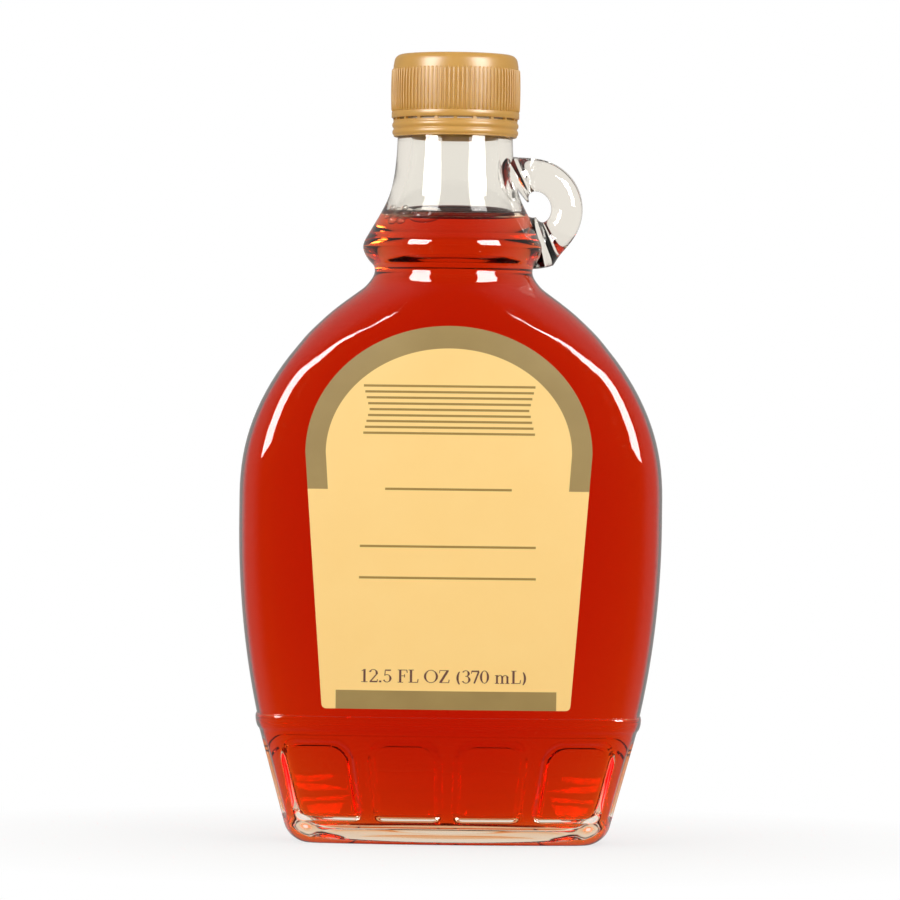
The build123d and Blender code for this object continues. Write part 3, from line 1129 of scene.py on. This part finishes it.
class Fields:
    """Small helper that builds fields of colour from sums and limits in a node tree."""

    def __init__(self, nodes, link):
        self.nodes, self.link = nodes, link

    def sum(self, operation, *terms):
        node = self.nodes.new("ShaderNodeMath")
        node.operation = operation
        for i, term in enumerate(terms):
            if isinstance(term, (int, float, np.floating)):
                node.inputs[i].default_value = float(term)
            else:
                self.link(term, node.inputs[i])
        return node.outputs[0]

    def below(self, value, limit, soft=0.06):
        """1 where value is under limit, 0 above, with a soft edge."""
        gap = self.sum("SUBTRACT", limit, value)
        return self.clamp(self.sum("ADD", self.sum("DIVIDE", gap, soft), 0.5))

    def clamp(self, value):
        node = self.nodes.new("ShaderNodeClamp")
        self.link(value, node.inputs[0])
        return node.outputs[0]

    def both(self, *masks):
        out = masks[0]
        for mask in masks[1:]:
            out = self.sum("MULTIPLY", out, mask)
        return out

    def either(self, *masks):
        out = masks[0]
        for mask in masks[1:]:
            out = self.sum("MAXIMUM", out, mask)
        return out

    def without(self, mask):
        return self.sum("SUBTRACT", 1.0, mask)


def label_print():
    """Cream paper with the printed gold arch, foot bar, rules and stripes."""
    finish, nodes, link = new_finish("cream and gold label paper")
    out = nodes.new("ShaderNodeOutputMaterial")
    shader = nodes.new("ShaderNodeBsdfPrincipled")
    place = nodes.new("ShaderNodeTexCoord")
    parts = nodes.new("ShaderNodeSeparateXYZ")
    link(place.outputs["Object"], parts.inputs[0])
    f = Fields(nodes, link)
    across_label = f.sum("MULTIPLY", parts.outputs["X"], 1 / METRES)
    x = f.sum("ABSOLUTE", f.sum("SUBTRACT", across_label, label_middle))
    z = f.sum("MULTIPLY", parts.outputs["Z"], 1 / METRES)

    line_half = 0.27  # half the weight of a rule or a stripe
    # the arch: outside an inner ellipse and its straight legs, down to the height where it stops
    inner_half_width, inner_crown = 29.0, 24.7
    leg_lean, arch_foot = 0.07, 84.1
    up = f.sum("MAXIMUM", f.sum("SUBTRACT", z, label_spring), 0.0)
    leg = f.sum("MULTIPLY", f.sum("MAXIMUM", f.sum("SUBTRACT", label_spring, z), 0.0), leg_lean)
    across = f.sum("DIVIDE", f.sum("ADD", x, leg), inner_half_width)
    along = f.sum("DIVIDE", up, inner_crown)
    reach = f.sum("SQRT", f.sum("ADD", f.sum("POWER", across, 2.0), f.sum("POWER", along, 2.0)))
    outside = f.without(f.below(f.sum("MULTIPLY", reach, inner_half_width), inner_half_width))
    arch = f.both(outside, f.without(f.below(z, arch_foot)))

    bar_half_width, bar_top = 26.0, 36.8
    bar = f.both(f.below(x, bar_half_width), f.below(z, bar_top))
    rules = []
    for height, half in ((84.3, 14.9), (70.8, 20.7), (63.4, 20.8)):
        off = f.sum("ABSOLUTE", f.sum("SUBTRACT", z, height))
        rules.append(f.both(f.below(off, line_half), f.below(x, half)))

    # nine stripes, a little shorter towards the middle one
    pitch, middle, most_from_middle = 1.39, 103.0, 4
    middle_half_width, longer_each = 18.8, 0.35
    from_middle = f.sum("SUBTRACT", z, middle)
    nearest = f.sum("ROUND", f.sum("DIVIDE", from_middle, pitch))
    off = f.sum("ABSOLUTE", f.sum("SUBTRACT", from_middle, f.sum("MULTIPLY", nearest, pitch)))
    away = f.sum("ABSOLUTE", nearest)
    end = f.sum("ADD", middle_half_width, f.sum("MULTIPLY", away, longer_each))
    stripes = f.both(
        f.below(off, line_half),
        f.below(f.sum("SUBTRACT", x, end), 0.0),
        f.below(away, most_from_middle + 0.5),
    )
    fine_gold = f.either(*rules, stripes)
    broad_gold = f.either(arch, bar)

    mottle = nodes.new("ShaderNodeTexNoise")
    mottle.inputs["Scale"].default_value = 90
    mottle.inputs["Detail"].default_value = 3
    link(place.outputs["Object"], mottle.inputs["Vector"])

    def mix(mask, first, second):
        node = nodes.new("ShaderNodeMixRGB")
        for i, value in enumerate((mask, first, second)):
            if isinstance(value, tuple):
                node.inputs[i].default_value = value
            else:
                link(value, node.inputs[i])
        return node.outputs[0]

    cream = mix(mottle.outputs[0], srgb(252, 210, 128), srgb(254, 215, 136))
    gold = mix(mottle.outputs[0], srgb(147, 121, 63), srgb(168, 142, 80))
    thin = srgb(158, 128, 52)
    colour = mix(fine_gold, mix(broad_gold, cream, gold), thin)
    link(colour, shader.inputs["Base Color"])
    fibre = nodes.new("ShaderNodeTexNoise")
    fibre.inputs["Scale"].default_value = 1800
    fibre.inputs["Detail"].default_value = 2
    link(place.outputs["Object"], fibre.inputs["Vector"])
    bump = nodes.new("ShaderNodeBump")
    bump.inputs["Strength"].default_value = 0.15
    bump.inputs["Distance"].default_value = 0.00003
    link(fibre.outputs[0], bump.inputs["Height"])
    link(bump.outputs[0], shader.inputs["Normal"])
    shader.inputs["Roughness"].default_value = 0.55
    shader.inputs["Specular IOR Level"].default_value = 0.3
    link(shader.outputs[0], out.inputs["Surface"])
    return finish


def plain_paper():
    """The unprinted back of the label, seen through the bottle."""
    finish, nodes, link = new_finish("plain label paper")
    out = nodes.new("ShaderNodeOutputMaterial")
    shader = nodes.new("ShaderNodeBsdfPrincipled")
    place = nodes.new("ShaderNodeTexCoord")
    fibre = nodes.new("ShaderNodeTexNoise")
    fibre.inputs["Scale"].default_value = 700
    tint = nodes.new("ShaderNodeMixRGB")
    tint.inputs[1].default_value = srgb(226, 212, 184)
    tint.inputs[2].default_value = srgb(238, 226, 202)
    link(place.outputs["Object"], fibre.inputs["Vector"])
    link(fibre.outputs[0], tint.inputs[0])
    link(tint.outputs[0], shader.inputs["Base Color"])
    shader.inputs["Roughness"].default_value = 0.7
    link(shader.outputs[0], out.inputs["Surface"])
    return finish


def brown_ink():
    """The dark brown of the printed letters."""
    finish, nodes, link = new_finish("dark brown printing ink")
    out = nodes.new("ShaderNodeOutputMaterial")
    shader = nodes.new("ShaderNodeBsdfPrincipled")
    place = nodes.new("ShaderNodeTexCoord")
    patchy = nodes.new("ShaderNodeTexNoise")
    patchy.inputs["Scale"].default_value = 1500
    tint = nodes.new("ShaderNodeMixRGB")
    tint.inputs[1].default_value = srgb(92, 40, 22)
    tint.inputs[2].default_value = srgb(112, 56, 32)
    link(place.outputs["Object"], patchy.inputs["Vector"])
    link(patchy.outputs[0], tint.inputs[0])
    link(tint.outputs[0], shader.inputs["Base Color"])
    shader.inputs["Roughness"].default_value = 0.6
    link(shader.outputs[0], out.inputs["Surface"])
    return finish


# ------------------------------------------------------------------ studio


room_light = (0.86, 0.81, 0.73)  # what shows through the glass
mirror_light = (0.03, 0.028, 0.025)  # what its front mirrors, apart from the softboxes
side_light = (0.40, 0.385, 0.37)  # and what its sides and back do
lamp_colour = (1.0, 0.985, 0.96)
shadow_reach, shadow_depth = 0.16, 0.35  # metres, and the shadow's share beside the bottle


def front_to_side(nodes, link, forward):
    """0 in front of the bottle, rising to 1 beside and behind it."""
    ramp = nodes.new("ShaderNodeMapRange")
    ramp.interpolation_type = "SMOOTHSTEP"
    ramp.inputs["From Min"].default_value = -0.75
    ramp.inputs["From Max"].default_value = 0.1
    link(forward, ramp.inputs["Value"])
    return ramp.outputs[0]


def make_world():
    """White behind the bottle, a pale warm room seen through its glass, and a dim one mirrored in it."""
    world = bpy.data.worlds.new("studio")
    bpy.context.scene.world = world
    world.use_nodes = True
    nodes, link = world.node_tree.nodes, world.node_tree.links.new
    nodes.clear()
    out = nodes.new("ShaderNodeOutputWorld")
    path = nodes.new("ShaderNodeLightPath")

    def backdrop(colour, strength):
        node = nodes.new("ShaderNodeBackground")
        node.inputs[0].default_value = (*colour, 1)
        node.inputs[1].default_value = strength
        return node.outputs[0]

    def where(kind, otherwise, then):
        node = nodes.new("ShaderNodeMixShader")
        link(path.outputs[kind], node.inputs[0])
        link(otherwise, node.inputs[1])
        link(then, node.inputs[2])
        return node.outputs[0]

    soft = backdrop(lamp_colour, 0.70)
    # what the front of the glass mirrors is dim, and grows lighter towards the sides and the back
    direction = nodes.new("ShaderNodeTexCoord")
    parts = nodes.new("ShaderNodeSeparateXYZ")
    link(direction.outputs["Generated"], parts.inputs[0])
    sides = nodes.new("ShaderNodeMixShader")
    link(front_to_side(nodes, link, parts.outputs["Y"]), sides.inputs[0])
    link(backdrop(mirror_light, 1.0), sides.inputs[1])
    link(backdrop(side_light, 1.0), sides.inputs[2])
    mirrored = where("Is Glossy Ray", soft, sides.outputs[0])
    through = where("Is Transmission Ray", mirrored, backdrop(room_light, 1.0))
    link(where("Is Camera Ray", through, backdrop((1, 1, 1), 1.0)), out.inputs[0])


def make_floor():
    """A pale floor that keeps the bottle's shadow and fades into the white behind it."""
    size = 6000.0
    floor = new_object(
        "floor",
        [(-size, -size, -0.05), (size, -size, -0.05), (size, size, -0.05), (-size, size, -0.05)],
        [(0, 1, 2, 3)],
        smooth=False,
    )
    finish, nodes, link = new_finish("pale floor")
    out = nodes.new("ShaderNodeOutputMaterial")
    path = nodes.new("ShaderNodeLightPath")
    f = Fields(nodes, link)
    place = nodes.new("ShaderNodeTexCoord")
    away = nodes.new("ShaderNodeVectorMath")
    away.operation = "LENGTH"
    link(place.outputs["Object"], away.inputs[0])
    parts = nodes.new("ShaderNodeSeparateXYZ")
    link(place.outputs["Object"], parts.inputs[0])
    near = f.clamp(f.sum("SUBTRACT", 1.0, f.sum("DIVIDE", away.outputs["Value"], shadow_reach)))
    lit = nodes.new("ShaderNodeBsdfDiffuse")
    lit.inputs[0].default_value = (0.80, 0.79, 0.77, 1)

    def glow(colour):
        node = nodes.new("ShaderNodeEmission")
        node.inputs[0].default_value = (*colour, 1)
        return node.outputs[0]

    def where(share, otherwise, then):
        node = nodes.new("ShaderNodeMixShader")
        link(share, node.inputs[0])
        link(otherwise, node.inputs[1])
        link(then, node.inputs[2])
        return node.outputs[0]

    shadow_share = f.sum("MULTIPLY", near, shadow_depth)
    seen = where(shadow_share, glow((1, 1, 1)), lit.outputs[0])
    through = where(shadow_share, glow(room_light), lit.outputs[0])
    forward = f.sum("DIVIDE", parts.outputs["Y"], f.sum("ADD", away.outputs["Value"], 0.001))
    aside = front_to_side(nodes, link, forward)
    around = where(aside, glow(mirror_light), glow(side_light))
    mirrored = where(path.outputs["Is Glossy Ray"], lit.outputs[0], around)
    mirrored = where(path.outputs["Is Transmission Ray"], mirrored, through)
    link(where(path.outputs["Is Camera Ray"], mirrored, seen), out.inputs[0])
    floor.data.materials.append(finish)


def make_lamp(name, place, aim, width, height, watts, lights_matt=True, mirrors=True):
    """A softbox: a glowing rectangle that faces a point."""
    data = bpy.data.lights.new(name, "AREA")
    data.shape = "RECTANGLE"
    data.size, data.size_y = width, height
    data.energy = watts
    data.color = lamp_colour
    lamp = bpy.data.objects.new(name, data)
    lamp.location = place
    lamp.rotation_mode = "QUATERNION"
    lamp.rotation_quaternion = (Vector(aim) - Vector(place)).to_track_quat("-Z", "Y")
    lamp.visible_diffuse = lights_matt
    lamp.visible_glossy = mirrors
    lamp.visible_transmission = mirrors
    bpy.context.scene.collection.objects.link(lamp)


def make_camera():
    """A long lens, level with the middle of the bottle, turned a little on its own axis."""
    data = bpy.data.cameras.new("camera")
    data.lens, data.sensor_width = 251, 36
    data.clip_start, data.clip_end = 0.05, 50
    camera = bpy.data.objects.new("camera", data)
    camera.location = (-0.00035, -1.5, 0.0936)
    camera.rotation_mode = "QUATERNION"
    level = Euler((math.radians(90), 0, 0)).to_matrix()
    roll = Matrix.Rotation(math.radians(0.69), 3, "Z")
    camera.rotation_quaternion = (level @ roll).to_quaternion()
    bpy.context.scene.collection.objects.link(camera)
    bpy.context.scene.camera = camera


# ------------------------------------------------------------------ putting it together

# Light bends between glass and syrup once, at the glass's inner face, so the syrup's own skin
# there doesn't bend it.
glass_bending, syrup_bending = 1.52, 1.46
glass_finish = clear_glass("clear moulded glass", glass_bending)
wetted_finish = clear_glass("glass against syrup", glass_bending / syrup_bending)
syrup_finish = amber_syrup("dark amber syrup", 1.0)
surface_finish = amber_syrup("syrup surface", syrup_bending)
gold_finish = gold_plastic()
paper_finish = label_print()
ink_finish = brown_ink()
paper_back_finish = plain_paper()

def keep(piece, finishes, slot_name, *nodes_replaced):
    """Gives a piece its finishes and its body, and hides the CAD nodes that it stands for; slot_name is not
    used.
    """
    which = np.zeros(len(piece.data.polygons), dtype=np.int32)
    piece.data.polygons.foreach_get("material_index", which)
    piece.data.materials.clear()
    for finish in finishes:
        piece.data.materials.append(finish)
    piece.data.polygons.foreach_set("material_index", np.minimum(which, len(finishes) - 1))
    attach(piece, "root")
    if nodes_replaced:
        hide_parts(*nodes_replaced)


keep(make_glass(), [glass_finish, wetted_finish], "glass", "bottle")
keep(make_syrup(), [syrup_finish, surface_finish], "syrup", "syrup")
keep(make_bubbles(), [surface_finish], "syrup")
keep(make_label(), [paper_finish, paper_back_finish], "label_paper", "label")
keep(make_volume_text(), [ink_finish], "label_paper")
keep(make_cap(), [gold_finish], "cap_plastic", "cap")
keep(make_band(), [gold_finish], "cap_plastic", "tamper_band")

round_tree = copies_round_the_axis("copies round the axis")
ribs = make_rib()
repeat_round(ribs, round_tree, rib_count, 0.0, gold_finish)
keep(ribs, [gold_finish], "cap_plastic")
bridges = make_bridge()
repeat_round(bridges, round_tree, bridge_count, 0.0, gold_finish)
keep(bridges, [gold_finish], "cap_plastic")

make_world()
make_floor()
for side in (-1, 1):
    make_lamp("softbox", (side * 0.60, -0.54, 0.47), (0, 0, 0.12), 0.44, 0.52, 15, lights_matt=False)
    make_lamp("soft fill", (side * 0.75, -0.85, 0.8), (0, 0, 0.1), 0.7, 0.7, 4.0, mirrors=False)
make_camera()

scene = bpy.context.scene
scene.view_settings.view_transform = "Standard"
scene.cycles.max_bounces = 24
scene.cycles.transmission_bounces = 24
scene.cycles.glossy_bounces = 6
scene.cycles.diffuse_bounces = 4
scene.cycles.transparent_max_bounces = 16
scene.cycles.use_denoising = True
